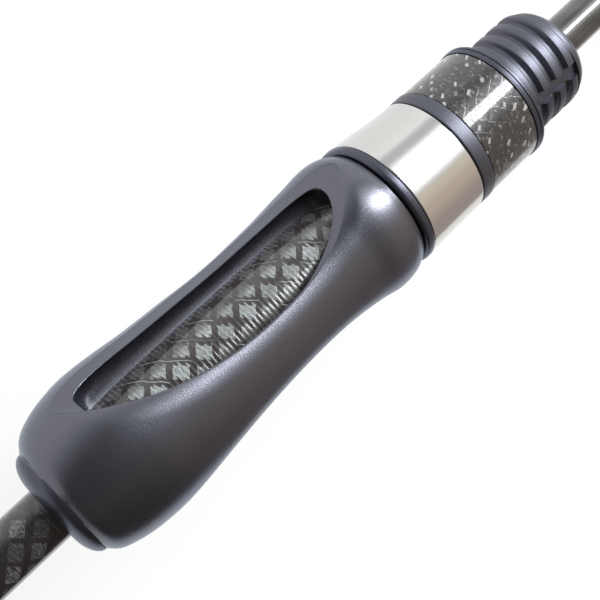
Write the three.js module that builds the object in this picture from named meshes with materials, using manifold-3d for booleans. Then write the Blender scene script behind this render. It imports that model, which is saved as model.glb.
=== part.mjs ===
// A two-piece spinning rod: carbon blank, EVA butt grip, windowed reel seat with a sliding hood
// and its nut, ring guides and a tip-top. Millimetres. +X runs along the rod towards the tip,
// +Z is the palm side of the reel seat, and the reel foot and the guides are on the -Z side.
// The origin is the centre of the butt cap's flat end face.
import * as THREE from "three";
import { mergeVertices } from "three/addons/utils/BufferGeometryUtils.js";
import Module from "manifold-3d";

const wasm = await Module();
wasm.setup();

// ---- Driving dimensions ----
const ROD_LENGTH = 1680;
const SEAT_X = 250; // the reel seat's own station 0; the seat's stations below are measured from it
const GAP = 0.3; // between neighbours that touch end to end
const FIT = 0.15; // radial clearance of a bonded sleeve
const RUN = 0.08; // radial running clearance of the ferrule
const SEGMENTS = 16;
const SEAT_SEGMENTS = 28;

const BUTT_CAP_LENGTH = 14;
const GRIP_END = 96;
const CHECK_LENGTH = 5;
const HANDLE_TUBE_R = 5;
const HANDLE_TUBE_WALL = 0.4;
const HANDLE_TUBE_END = -30; // seat station

const BLANK_START = -45; // seat station, inside the handle tube
const BLANK_R_AT_SEAT = 4.13; // just ahead of the seat
const BLANK_R_STATION = SEAT_X + 75;
const BLANK_TAPER = 0.00249; // radius lost per millimetre
const BLANK_WALL = 0.55;
const FERRULE_START = 850;
const FERRULE_END = 905;
const TIP_SOCKET_R = 3.55;
const TIP_SOCKET_END_R = 3.35;
const TIP_R = 0.75;
const TIP_BORE_END = 1400;

const CAP_REAR = -55.2;
const CAP_R = 10.4;
const BODY_REAR = -52.45;
const BODY_FRONT = 21.7;
const PIPE_R = 8.6;
const PIPE_WALL = 0.9;
const FOOT_LEVEL = 10.6; // the reel foot's platform is this far below the axis
const POCKET_SIDE = 1.3; // height of a foot pocket's straight sides
const POCKET_ARCH = 3.2; // rise of its arched top
const POCKET_HALF_WIDTH = 6.8;
const FIXED_POCKET = [-27, -19.8]; // seat stations of its bottom and its mouth
const HOOD_POCKET_END = 28.2;

const THREAD_R = 10.25;
const THREAD_PITCH = 3.55;
const THREAD_DEPTH = 0.95;
const THREAD_GROOVE = 0.86;
const THREAD_FIRST = 57.2; // station of the first groove ahead of the nut
const BARREL_REAR = 22.2;
const BARREL_FRONT = 70.6;
const KEYWAY_WIDTH = 2.6;
const KEYWAY_DEPTH = 1.1;

const HOOD_BORE = 10.6;
const LIP_FRONT = 23.9;
const HOOD_FRONT = 37.2;
const STEEL_R = 12.36;
const STEEL_WALL = 0.5;
const BAND_FRONT = 40.4;
const CARBON_FRONT = 52.3;
const NUT_FRONT = 54.4;
const NUT_CORE_R = 11.3;

// Guides from the butt end: x of the ring, the ring's outer radius, how far its centre hangs below
// the blank's axis, and whether the frame has a foot on each side of the ring.
const GUIDES = [
  { x: 742, ring: 12.5, drop: 31, double: true },
  { x: 968, ring: 8, drop: 21, double: true },
  { x: 1160, ring: 5.2, drop: 13.5, double: false },
  { x: 1324, ring: 4.2, drop: 10.5, double: false },
  { x: 1464, ring: 3.6, drop: 8.6, double: false },
  { x: 1580, ring: 3.2, drop: 7.2, double: false },
];
const TIP_RING_R = 2.9;
const TIP_DROP = 4.6;

// ---- Materials ----
const finish = (color, roughness, metalness = 0) =>
  new THREE.MeshStandardMaterial({ color, roughness, metalness });
const softTouch = finish(0x2f3138, 0.45);
const darkRing = finish(0x2a2b31, 0.5);
const carbon = finish(0x2b2725, 0.2);
const steel = finish(0xc9c8c4, 0.15, 1);
const foam = finish(0x1d1d1e, 0.9);
const rubber = finish(0x171718, 0.8);
const frameMetal = finish(0x55565a, 0.3, 1);
const ceramic = finish(0x6f7278, 0.1);
const thread = finish(0x141416, 0.3);
const arborFoam = finish(0x8d8a80, 0.9);

// ---- Geometry helpers ----
function tidy(geometry) {
  geometry.deleteAttribute("normal");
  geometry.deleteAttribute("uv");
  const merged = mergeVertices(geometry, 1e-4);
  const kept = [];
  const index = merged.index.array;
  for (let i = 0; i < index.length; i += 3) {
    const [a, b, c] = [index[i], index[i + 1], index[i + 2]];
    if (a !== b && b !== c && c !== a) kept.push(a, b, c);
  }
  merged.setIndex(kept);
  return merged;
}

function solid(geometry) {
  const made = new wasm.Manifold(
    new wasm.Mesh({
      numProp: 3,
      vertProperties: new Float32Array(geometry.attributes.position.array),
      triVerts: new Uint32Array(geometry.index.array),
    }),
  );
  if (made.volume() > 0) return made;
  const flipped = geometry.clone();
  const index = flipped.index.array;
  for (let i = 0; i < index.length; i += 3) [index[i + 1], index[i + 2]] = [index[i + 2], index[i + 1]];
  return solid(flipped);
}

function geometryOf(manifold) {
  const mesh = manifold.getMesh();
  const geometry = new THREE.BufferGeometry();
  geometry.setAttribute("position", new THREE.BufferAttribute(new Float32Array(mesh.vertProperties), 3));
  geometry.setIndex(Array.from(mesh.triVerts));
  geometry.computeVertexNormals();
  return geometry;
}

// A turned solid about the rod's axis from a closed outline of [x, radius] points.
function turned(outline, segments = SEGMENTS) {
  const closed = [...outline, outline[0]].map(([x, r]) => new THREE.Vector2(r, x));
  return solid(tidy(new THREE.LatheGeometry(closed, segments).rotateZ(-Math.PI / 2)));
}

// A turned tube: the outer outline runs forward, the bore is straight.
function sleeve(outer, bore, segments = SEGMENTS) {
  const first = outer[0][0];
  const last = outer[outer.length - 1][0];
  return turned([[first, bore], ...outer, [last, bore]], segments);
}

function box(x0, x1, y0, y1, z0, z1) {
  const geometry = new THREE.BoxGeometry(x1 - x0, y1 - y0, z1 - z0);
  return solid(tidy(geometry.translate((x0 + x1) / 2, (y0 + y1) / 2, (z0 + z1) / 2)));
}

// A solid skinned over loops of points that all have the same count, with flat ends.
function skinned(loops) {
  const count = loops[0].length;
  const position = loops.flat(2);
  const index = [];
  for (let i = 0; i + 1 < loops.length; i++) {
    for (let j = 0; j < count; j++) {
      const next = (j + 1) % count;
      const [a, b, c, d] = [i * count + j, i * count + next, (i + 1) * count + j, (i + 1) * count + next];
      index.push(a, b, d, a, d, c);
    }
  }
  const ends = [0, loops.length - 1];
  for (const end of ends) {
    const centre = position.length / 3;
    position.push(loops[end][0][0], 0, 0);
    for (let j = 0; j < count; j++) {
      const edge = [end * count + j, end * count + ((j + 1) % count)];
      index.push(...(end === 0 ? [centre, edge[1], edge[0]] : [centre, edge[0], edge[1]]));
    }
  }
  const geometry = new THREE.BufferGeometry();
  geometry.setAttribute("position", new THREE.BufferAttribute(new Float32Array(position), 3));
  geometry.setIndex(index);
  return solid(tidy(geometry));
}

const clamp = (v) => Math.min(1, Math.max(0, v));
const smooth = (v) => clamp(v) ** 2 * (3 - 2 * clamp(v));
const lerp = (a, b, v) => a + (b - a) * v;
const around = (x, r, phi) => [x, r * Math.sin(phi), r * Math.cos(phi)];

// A smooth curve through [x, value] points.
function curve(points) {
  return (x) => {
    const last = points.length - 1;
    if (x <= points[0][0]) return points[0][1];
    if (x >= points[last][0]) return points[last][1];
    const i = points.findIndex((p, k) => k < last && x < points[k + 1][0]);
    const slope = (k) => {
      const [a, b] = [points[Math.max(0, k - 1)], points[Math.min(last, k + 1)]];
      return (b[1] - a[1]) / (b[0] - a[0]);
    };
    const [p, q] = [points[i], points[i + 1]];
    const width = q[0] - p[0];
    const u = (x - p[0]) / width;
    const start = (1 + 2 * u) * (1 - u) ** 2 * p[1] + u * (1 - u) ** 2 * width * slope(i);
    return start + u * u * (3 - 2 * u) * q[1] + u * u * (u - 1) * width * slope(i + 1);
  };
}

// ---- Reel seat shape ----
const palmRadius = curve([
  [BODY_REAR, CAP_R],
  [-51.3, 11.6],
  [-49.5, 12.45],
  [-45, 13.5],
  [-38, 13.95],
  [-30, 13.8],
  [-18, 13.25],
  [-4, 12.65],
  [5, 12.4],
  [11, 12.55],
  [16.3, 13.05],
  [19.5, 12.8],
  [BODY_FRONT, 11.9],
]);
const footGrowth = curve([
  [BODY_REAR, 0],
  [-49.2, 1],
  [-42.8, 1.55],
  [-39.6, 1.6],
  [-33, 0.9],
  [-26, 0.25],
  [-9, 0.2],
  [1.8, 1],
  [9.2, 1.7],
  [16.8, 1.6],
  [BODY_FRONT, 0.9],
]);
const FOOT_BULGE_SPREAD = 0.62; // radians

// Extra radius at angle phi from the palm side: a broad growth and a narrow bulge over a pocket.
function footSide(phi, growth, bulge) {
  const off = Math.abs(Math.PI - phi);
  return (growth * (1 - Math.cos(phi))) / 2 + bulge * Math.exp(-((off / FOOT_BULGE_SPREAD) ** 2));
}
const bellyBulge = (x) => 2.5 * smooth((x + 46) / 16) * smooth((-10 - x) / 9.8);
const bodyRadius = (x, phi) => palmRadius(x) + footSide(phi, footGrowth(x), bellyBulge(x));

// The window on each side, in degrees from the palm side. Its crest is where a shallow dish starts,
// and inside the dish a slot goes down to the carbon pipe: arched on the palm side, straight on the other.
const CREST = { rear: -44.7, front: 18.9, palm: 62.3, foot: 28, centre: 90 };
const SLOT = { rear: -40.9, front: 13.8, palm: 54.3, foot: 20.5, centre: 82 };
const WINDOW_MIDDLE = -9;
const CREST_LIP = 2.2;
const DISH_DEPTH = 1.5;
const DISH_REACH = 2.2;
const POCKET_FLOOR = PIPE_R - 0.5;
const COVE = 13.5; // degrees that the slot's foot wall runs back under its rim

// 0 at both ends of a window outline and 1 at its middle.
function swell(x, { rear, front }, rearPower, frontPower, frontShape = 2) {
  if (x <= rear || x >= front) return 0;
  if (x < WINDOW_MIDDLE) return (1 - ((WINDOW_MIDDLE - x) / (WINDOW_MIDDLE - rear)) ** 2) ** rearPower;
  return (1 - ((x - WINDOW_MIDDLE) / (front - WINDOW_MIDDLE)) ** frontShape) ** frontPower;
}
const palmCrest = (x) => CREST.centre - CREST.palm * swell(x, CREST, 0.75, 0.72, 2.6);
const footCrest = (x) => CREST.centre + CREST.foot * swell(x, CREST, 0.4, 0.5);
const isOpen = (x) => x > SLOT.rear && x < SLOT.front;
const centreLine = (x) =>
  lerp(CREST.centre, SLOT.centre, smooth((x - CREST.rear) / 2.7) * smooth((CREST.front - x) / 4.9));
function palmEdge(x) {
  if (!isOpen(x)) return centreLine(x);
  return Math.max(palmCrest(x) + CREST_LIP, SLOT.centre - SLOT.palm * swell(x, SLOT, 0.35, 0.6));
}
const footEdge = (x) => (isOpen(x) ? SLOT.centre + SLOT.foot * swell(x, SLOT, 0.27, 0.4) : centreLine(x));

// Depth of the dish, from the distances to its two crests along the arc.
function dishDepth(x, angle) {
  const arc = THREE.MathUtils.degToRad(1) * palmRadius(x);
  const palm = Math.max(0, angle - palmCrest(x)) * arc;
  const foot = Math.max(0, footCrest(x) - angle) * arc;
  return DISH_DEPTH * (1 - Math.exp(-(palm * foot) / (palm + foot + 1e-9) / DISH_REACH));
}

// Points from the middle of the palm or foot spine, over the dish and down the slot's wall, at one station.
// The wall turns by up to cove degrees on its way down.
function halfSection(x, spineAngle, crest, edge, cove, { spine, dish, wall }) {
  const points = [];
  const add = (angle, r) => points.push([r, THREE.MathUtils.degToRad(angle)]);
  const surface = (angle) => bodyRadius(x, THREE.MathUtils.degToRad(angle)) - dishDepth(x, angle);
  for (let i = 0; i < spine; i++) {
    const angle = lerp(spineAngle, crest, i / spine);
    add(angle, surface(angle));
  }
  for (let i = 0; i <= dish; i++) {
    const angle = lerp(crest, edge, i / dish);
    add(angle, surface(angle));
  }
  const top = surface(edge);
  for (let i = 1; i <= wall; i++) {
    const down = i / wall;
    const turn = cove * Math.sin(0.62 * Math.PI * down ** 0.8);
    add(edge + turn, isOpen(x) ? lerp(top, POCKET_FLOOR, down) : top);
  }
  return points;
}

function bodySection(x, detail) {
  const cove = isOpen(x) ? COVE * smooth((footEdge(x) - palmEdge(x)) / 30) : 0;
  const palm = halfSection(x, 0, palmCrest(x), palmEdge(x), 0, detail);
  const foot = halfSection(x, 180, footCrest(x), footEdge(x), cove, detail);
  const side = (points, sign) => points.map(([r, phi]) => around(x, r, sign * phi));
  return [
    ...side(palm, 1),
    ...side([...foot].reverse(), 1),
    ...side(foot, -1),
    ...side([...palm].reverse(), -1),
  ];
}

// The room for one end of a reel foot: flat on the platform, arched on top.
function footPocket(x0, x1, level) {
  const outline = new THREE.Shape();
  outline.moveTo(level, -POCKET_HALF_WIDTH);
  for (let i = 0; i <= 8; i++) {
    const a = Math.PI * (i / 8);
    outline.lineTo(-FOOT_LEVEL - POCKET_SIDE - POCKET_ARCH * Math.sin(a), -POCKET_HALF_WIDTH * Math.cos(a));
  }
  outline.lineTo(level, POCKET_HALF_WIDTH);
  const geometry = new THREE.ExtrudeGeometry(outline, { depth: x1 - x0, bevelEnabled: false });
  geometry.applyMatrix4(new THREE.Matrix4().set(0, 0, 1, x0, 0, 1, 0, 0, 1, 0, 0, 0, 0, 0, 0, 1));
  return solid(tidy(geometry));
}

const at = (manifold) => manifold.translate([SEAT_X, 0, 0]);

function seatBody() {
  const stations = [BODY_REAR, -51.6, -50.4, -48.6, -46.5, -44.71, -44, -42.6];
  stations.push(-40.91, -40.6, -39.7, -38.2, -35.5);
  for (let x = -32; x < 4; x += 4) stations.push(x);
  stations.push(5, 8, 10, 11.8, 13, 13.6, 13.81, 15.2, 16.8, 18.1, 18.91, 20, 21, BODY_FRONT);
  const loops = stations.map((x) => bodySection(x, { spine: 4, dish: 2, wall: 2 }));
  const bore = turned([[-60, 0], [-60, PIPE_R + FIT], [30, PIPE_R + FIT], [30, 0]], SEAT_SEGMENTS);
  const platform = box(FIXED_POCKET[1], 30, -20, 20, -20, -FOOT_LEVEL);
  const pocket = footPocket(FIXED_POCKET[0], FIXED_POCKET[1] + 1, -FOOT_LEVEL);
  return at(skinned(loops).subtract(bore).subtract(platform).subtract(pocket));
}

function seatEndCap() {
  const outer = [];
  const depth = BODY_REAR - GAP - CAP_REAR;
  const rise = CAP_R - HANDLE_TUBE_R - 0.6;
  for (let i = 0; i <= 5; i++) {
    const a = (Math.PI / 2) * (i / 5);
    outer.push([CAP_REAR + depth * (1 - Math.cos(a)), CAP_R - rise * (1 - Math.sin(a))]);
  }
  return at(sleeve(outer, HANDLE_TUBE_R + FIT));
}

const seatPipe = () =>
  at(sleeve([[-50, PIPE_R], [BODY_FRONT - 1, PIPE_R]], PIPE_R - PIPE_WALL, SEAT_SEGMENTS));
const ARBOR_R = PIPE_R - PIPE_WALL - FIT;
const rearArbor = () => at(sleeve([[-49.5, ARBOR_R], [-32, ARBOR_R]], HANDLE_TUBE_R + FIT));
const frontArbor = () => at(sleeve([[0, ARBOR_R], [20, ARBOR_R]], blankRadius(SEAT_X) + FIT));

// The threaded barrel: annular grooves stand in for the screw thread, and a keyway runs along it.
function threadedBarrel() {
  const outer = [[BARREL_REAR, THREAD_R]];
  const root = THREAD_R - THREAD_DEPTH;
  for (let k = -4; k <= 2; k++) {
    const x = THREAD_FIRST + k * THREAD_PITCH;
    const half = THREAD_GROOVE / 2;
    outer.push([x - half - 0.2, THREAD_R], [x - half, root], [x + half, root], [x + half + 0.2, THREAD_R]);
  }
  outer.push([BARREL_FRONT - 3.4, THREAD_R]);
  outer.push([BARREL_FRONT - 2.9, 9.65]);
  for (let i = 1; i <= 4; i++) {
    const a = (Math.PI / 2) * (i / 4);
    outer.push([BARREL_FRONT - 2.9 * (1 - Math.sin(a)), 4.9 + 4.75 * Math.cos(a)]);
  }
  const barrel = sleeve(outer, blankRadius(SEAT_X + BARREL_REAR) + FIT);
  const floor = THREAD_R - KEYWAY_DEPTH;
  const key = box(BARREL_REAR - 1, BARREL_FRONT - 3.6, -KEYWAY_WIDTH / 2, KEYWAY_WIDTH / 2, floor, 12);
  return at(barrel.subtract(key));
}

// ---- Sliding hood and nut ----
const hoodBulge = (x) => 3.4 * (1 - smooth((x - 27) / 9.6));
const hoodGrowth = (x) => lerp(0.8, 0, smooth((x - 23) / 13));

function ringLoops(stations, radiusAt) {
  return stations.map(([x, r]) => {
    const loop = [];
    for (let j = 0; j < SEAT_SEGMENTS; j++) {
      const phi = (2 * Math.PI * j) / SEAT_SEGMENTS;
      const folded = phi > Math.PI ? 2 * Math.PI - phi : phi;
      loop.push(around(x, radiusAt(x, r, folded), phi));
    }
    return loop;
  });
}
const hoodRadius = (x, r, phi) => r + footSide(phi, hoodGrowth(x), hoodBulge(x));
const boreTool = (r) => turned([[-80, 0], [-80, r], [90, r], [90, 0]], SEAT_SEGMENTS);

const HOOD_STATIONS = [LIP_FRONT + 0.3, 28, 31, 34, HOOD_FRONT - 0.4];

function hoodInsert() {
  const under = STEEL_R - STEEL_WALL - 0.12;
  const lip = [
    [BODY_FRONT + 0.35, 11.9],
    [BODY_FRONT + 0.6, 12.3],
    [BODY_FRONT + 1.2, 12.5],
    [LIP_FRONT - 0.2, 12.4],
    [LIP_FRONT, 12.2],
    [LIP_FRONT + 0.01, under],
    ...HOOD_STATIONS.slice(1).map((x) => [x, under]),
  ];
  const body = skinned(ringLoops(lip, hoodRadius)).subtract(boreTool(HOOD_BORE));
  const pocket = footPocket(BODY_FRONT - 1, HOOD_POCKET_END, -FOOT_LEVEL + 0.6);
  const keyTop = HOOD_BORE + 0.4;
  const key = box(LIP_FRONT, HOOD_FRONT - 1, -KEYWAY_WIDTH / 2 + 0.2, KEYWAY_WIDTH / 2 - 0.2, 9.4, keyTop);
  return at(body.subtract(pocket).add(key));
}

function hoodSleeve() {
  const stations = HOOD_STATIONS.map((x) => [x, STEEL_R]);
  stations.push([HOOD_FRONT, STEEL_R - 0.15]);
  const thinner = stations.map(([x]) => [x, STEEL_R - STEEL_WALL]);
  const inside = [[LIP_FRONT, STEEL_R - STEEL_WALL], ...thinner.slice(1, -1)];
  inside.push([HOOD_FRONT + 0.3, STEEL_R - STEEL_WALL]);
  return at(skinned(ringLoops(stations, hoodRadius)).subtract(skinned(ringLoops(inside, hoodRadius))));
}

function nutCore() {
  return at(sleeve([[HOOD_FRONT + 0.4, NUT_CORE_R], [NUT_FRONT - 0.4, NUT_CORE_R]], HOOD_BORE - 0.1));
}

function nutRing(rear, front, radius, chamfer) {
  const outer = [
    [rear, radius - chamfer],
    [rear + chamfer, radius],
    [front - chamfer, radius],
    [front, radius - chamfer],
  ];
  return at(sleeve(outer, NUT_CORE_R + FIT, 20));
}
const nutBand = () => nutRing(HOOD_FRONT + GAP, BAND_FRONT - 0.1, 12.3, 0.2);
const nutCarbon = () => nutRing(BAND_FRONT + 0.1, CARBON_FRONT, 12.15, 0.05);
const nutFrontRing = () => nutRing(CARBON_FRONT + 0.2, NUT_FRONT, 12.4, 0.3);

// ---- Butt end and blanks ----
const blankRadius = (x) => BLANK_R_AT_SEAT - (x - BLANK_R_STATION) * BLANK_TAPER;

function buttCap() {
  const front = BUTT_CAP_LENGTH - GAP;
  return turned([[0, 0], [0, 9.6], [0.8, 11.2], [2.6, 12.3], [front, 12.5], [front, 0]]);
}

function rearGrip() {
  const outer = [
    [BUTT_CAP_LENGTH, 12.5],
    [28, 11.6],
    [46, 10.9],
    [62, 11.3],
    [74, 11.5],
    [84, 10.4],
    [92, 8.2],
    [GRIP_END, 7.1],
  ];
  return sleeve(outer, HANDLE_TUBE_R + FIT);
}

function gripCheck() {
  const rear = GRIP_END + GAP;
  const front = rear + CHECK_LENGTH;
  const outer = [[rear, 7], [rear + 1.2, 7.2], [rear + 2.2, 6.6], [front - 0.5, 5.9], [front, 5.6]];
  return sleeve(outer, HANDLE_TUBE_R + FIT);
}

function handleTube() {
  const rear = BUTT_CAP_LENGTH;
  const front = SEAT_X + HANDLE_TUBE_END;
  return sleeve([[rear, HANDLE_TUBE_R], [front, HANDLE_TUBE_R]], HANDLE_TUBE_R - HANDLE_TUBE_WALL);
}

function taperedTube(stations, radiusAt, boreAt) {
  const outer = stations.map((x) => [x, radiusAt(x)]);
  const bore = stations.map((x) => [x, boreAt(x)]).reverse();
  return turned([...outer, ...bore], SEGMENTS);
}

function buttBlank() {
  const stations = [SEAT_X + BLANK_START, 400, 600, 800, FERRULE_END];
  return taperedTube(stations, blankRadius, (x) => blankRadius(x) - BLANK_WALL);
}

const tipTaper = (TIP_SOCKET_END_R - TIP_R) / (ROD_LENGTH - FERRULE_END);
const tipRadius = (x) =>
  x < FERRULE_END
    ? lerp(TIP_SOCKET_R, TIP_SOCKET_END_R, (x - FERRULE_START) / (FERRULE_END - FERRULE_START))
    : TIP_SOCKET_END_R - (x - FERRULE_END) * tipTaper;

function tipBlank() {
  const end = ROD_LENGTH - 3;
  const outer = [FERRULE_START, FERRULE_END + 3, 1100, 1300, end].map((x) => [x, tipRadius(x)]);
  const socketEnd = FERRULE_END + 2;
  const bore = [
    [TIP_BORE_END, 0.45],
    [socketEnd + 6, blankRadius(FERRULE_END) - 0.5],
    [socketEnd, blankRadius(socketEnd) + RUN],
    [FERRULE_START, blankRadius(FERRULE_START) + RUN],
  ];
  return turned([...outer, [end, 0], [TIP_BORE_END, 0], ...bore]);
}

// ---- Wraps and guides ----
const WRAP_R = 0.75; // thickness of a wrap over its blank
const FOOT_R = 0.55; // half height of a guide foot
const FOOT_W = 1.1; // half width of a guide foot

function wrap(x0, x1, radiusAt, foot) {
  const end = 2;
  const outer = [
    [x0, radiusAt(x0) + 0.35],
    [x0 + end, radiusAt(x0) + WRAP_R + (foot ? 0.9 : 0)],
    [x1 - end, radiusAt(x1) + WRAP_R + (foot ? 0.9 : 0)],
    [x1, radiusAt(x1) + 0.35],
  ];
  const bore = [[x1, radiusAt(x1) + FIT], [x0, radiusAt(x0) + FIT]];
  const ring = turned([...outer, ...bore], 12);
  if (!foot) return ring;
  const [f0, f1] = foot;
  const r = radiusAt((f0 + f1) / 2);
  const channel = box(f0 - FIT, f1 + FIT, -FOOT_W - FIT, FOOT_W + FIT, -r - 2 * FOOT_R - 0.45, -r + 0.8);
  return ring.subtract(channel);
}

// A leg: a bent strip drawn in the XZ plane and extruded across Y.
function strip(path, width) {
  const shape = new THREE.Shape(path.map(([x, z]) => new THREE.Vector2(x, z)));
  const geometry = new THREE.ExtrudeGeometry(shape, { depth: width, bevelEnabled: false, steps: 1 });
  return solid(tidy(geometry.rotateX(Math.PI / 2).translate(0, width / 2, 0)));
}

// An upright ring around the line, in the plane across the rod.
function hoop(x, z, outer, inner, halfWidth) {
  const bevel = Math.min(0.4, halfWidth / 2, (outer - inner) / 3);
  const outline = [
    [-halfWidth, inner + bevel],
    [-halfWidth, outer - bevel],
    [0, outer],
    [halfWidth, outer - bevel],
    [halfWidth, inner + bevel],
    [0, inner],
  ];
  return turned(outline).translate([x, 0, z]);
}

const frameRadii = ({ ring }) => {
  const band = Math.max(0.45, ring * 0.07);
  const inset = Math.max(0.6, ring * 0.12);
  return { outer: ring, seat: ring - band, insert: ring - band - 0.05, hole: ring - band - inset };
};

function guideFrame(guide, radiusAt) {
  const { x, drop, double } = guide;
  const { outer, seat } = frameRadii(guide);
  const rise = drop - outer; // from the blank's axis down to the top of the ring
  const lean = Math.max(5, rise * 0.9);
  const foot = Math.max(9, outer * 1.5);
  const thick = 2 * FOOT_R * 0.8;
  const halfWidth = Math.max(0.7, outer * 0.11);
  const parts = [hoop(x, -drop, outer, seat, halfWidth)];
  const sides = double ? [-1, 1] : [-1];
  const feet = [];
  for (const side of sides) {
    const tip = x + side * (lean + foot);
    const heel = x + side * lean;
    const top = -radiusAt(heel) - 0.3;
    const ringTop = -rise - 0.15;
    const path = [
      [tip, top],
      [heel, top],
      [x + side * 0.3, ringTop + thick],
      [x + side * 0.3, ringTop - 0.25],
      [x + side * (halfWidth + 0.3), ringTop - 0.25],
      [heel - side * 0.4, top - thick],
      [tip, top - thick * 0.7],
    ];
    if (side < 0) path.reverse();
    parts.push(strip(path, 2 * FOOT_W));
    feet.push([Math.min(tip, heel), Math.max(tip, heel)]);
  }
  return { manifold: parts.reduce((all, part) => all.add(part)), feet };
}

function guideRing(guide) {
  const { insert, hole } = frameRadii(guide);
  return hoop(guide.x, -guide.drop, insert, hole, Math.max(0.8, guide.ring * 0.13));
}

// ---- Assembly ----
const rod = new THREE.Group();
rod.name = "spinning_rod";

function add(name, manifold, material) {
  const mesh = new THREE.Mesh(geometryOf(manifold), material);
  mesh.name = name;
  rod.add(mesh);
}

add("butt_cap", buttCap(), rubber);
add("rear_grip", rearGrip(), foam);
add("grip_check", gripCheck(), steel);
add("handle_tube", handleTube(), carbon);
add("butt_blank", buttBlank(), carbon);
add("seat_end_cap", seatEndCap(), darkRing);
add("seat_body", seatBody(), softTouch);
add("seat_pipe", seatPipe(), carbon);
add("rear_arbor", rearArbor(), arborFoam);
add("front_arbor", frontArbor(), arborFoam);
add("threaded_barrel", threadedBarrel(), softTouch);
add("hood_insert", hoodInsert(), darkRing);
add("hood_sleeve", hoodSleeve(), steel);
add("nut_core", nutCore(), darkRing);
add("nut_band", nutBand(), darkRing);
add("nut_carbon_sleeve", nutCarbon(), carbon);
add("nut_front_ring", nutFrontRing(), darkRing);
add("tip_blank", tipBlank(), carbon);
add("ferrule_wrap_butt", wrap(830, FERRULE_START - GAP, blankRadius), thread);
add("ferrule_wrap_tip", wrap(FERRULE_START + 1, FERRULE_START + 19, tipRadius), thread);

GUIDES.forEach((guide, i) => {
  const name = "guide_" + (i + 1);
  const radiusAt = guide.x < FERRULE_START ? blankRadius : tipRadius;
  const { manifold, feet } = guideFrame(guide, radiusAt);
  add(name + "_frame", manifold, frameMetal);
  add(name + "_ring", guideRing(guide), ceramic);
  feet.forEach((foot, k) => {
    const side = k === 0 ? -1 : 1;
    const [f0, f1] = foot;
    const span = side < 0 ? [f0 - 4, f1 - 1] : [f0 + 1, f1 + 4];
    const label = k === 0 ? "_wrap" : "_front_wrap";
    add(name + label, wrap(span[0], span[1], radiusAt, foot), thread);
  });
});

function tipTop() {
  const rear = ROD_LENGTH - 14;
  const tube = sleeve([[rear, 1.6], [ROD_LENGTH - 1.5, 1.6]], tipRadius(rear) + FIT, 12);
  const ring = hoop(ROD_LENGTH, -TIP_DROP, TIP_RING_R, TIP_RING_R - 0.45, 0.8);
  const path = [
    [ROD_LENGTH - 9, -1.2],
    [ROD_LENGTH - 1.8, -1.2],
    [ROD_LENGTH + 0.5, -1.9],
    [ROD_LENGTH + 0.5, -2.1],
    [ROD_LENGTH - 0.5, -2.1],
    [ROD_LENGTH - 9, -1.5],
  ];
  return tube.add(ring).add(strip(path, 1.2));
}
add("tip_top_frame", tipTop(), frameMetal);
add("tip_top_ring", hoop(ROD_LENGTH, -TIP_DROP, TIP_RING_R - 0.5, TIP_RING_R - 1.1, 0.9), ceramic);
add("tip_top_wrap", wrap(ROD_LENGTH - 24, ROD_LENGTH - 14.5, tipRadius), thread);

export default rod;
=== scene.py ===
"""Looks of the spinning rod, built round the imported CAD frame.

+X runs along the rod towards the tip, +Z is the palm side of the reel seat, and the reel foot and
the guides hang on the -Z side. Shapes are written in millimetres and scaled when a mesh is made.
In the reel seat, x is counted from the seat's own zero, SEAT_X.
"""

from math import asin, copysign, cos, pi, radians, sin, sqrt

import bmesh
import bpy
import numpy as np
from mathutils import Matrix, Vector


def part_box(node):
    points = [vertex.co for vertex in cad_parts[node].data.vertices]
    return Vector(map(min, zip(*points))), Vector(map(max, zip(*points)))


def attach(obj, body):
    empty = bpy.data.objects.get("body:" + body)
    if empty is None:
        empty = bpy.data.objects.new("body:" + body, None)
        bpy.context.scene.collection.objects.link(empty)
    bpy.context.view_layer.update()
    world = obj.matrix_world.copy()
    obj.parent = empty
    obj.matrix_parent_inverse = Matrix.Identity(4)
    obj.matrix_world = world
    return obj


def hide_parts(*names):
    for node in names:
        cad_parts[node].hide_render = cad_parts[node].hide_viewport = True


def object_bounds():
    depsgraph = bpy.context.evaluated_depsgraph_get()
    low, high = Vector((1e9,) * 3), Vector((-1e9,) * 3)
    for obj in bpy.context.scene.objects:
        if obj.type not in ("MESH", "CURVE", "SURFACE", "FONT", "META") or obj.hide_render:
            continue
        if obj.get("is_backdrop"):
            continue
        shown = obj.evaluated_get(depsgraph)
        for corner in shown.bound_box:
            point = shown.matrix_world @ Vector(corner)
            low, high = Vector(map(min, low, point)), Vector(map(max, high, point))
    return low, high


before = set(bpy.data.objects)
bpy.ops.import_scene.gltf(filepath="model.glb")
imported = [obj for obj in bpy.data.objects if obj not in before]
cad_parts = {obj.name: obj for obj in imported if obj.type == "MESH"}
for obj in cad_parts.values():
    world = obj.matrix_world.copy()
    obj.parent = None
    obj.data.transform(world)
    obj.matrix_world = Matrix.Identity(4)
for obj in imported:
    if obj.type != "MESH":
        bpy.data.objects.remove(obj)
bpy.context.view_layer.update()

# -------- driving dimensions (mm)
MM = 0.001
BODY_REAR, BODY_FRONT = -52.45, 21.7
SEAT_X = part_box("seat_body")[1][0] / MM - BODY_FRONT
CAP_REAR, CAP_R = -55.2, 10.4
HANDLE_R = 5.0
PIPE_R, PIPE_WALL = 8.6, 0.9
PIPE_REAR, PIPE_FRONT = -50, 20.7
FOOT_LEVEL = 10.6
POCKET_SIDE, POCKET_ARCH = 1.3, 3.2
POCKET_HALF_WIDTH = 6.8
FIXED_POCKET = (-27.0, -19.8)
HOOD_POCKET_END = 28.2

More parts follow.
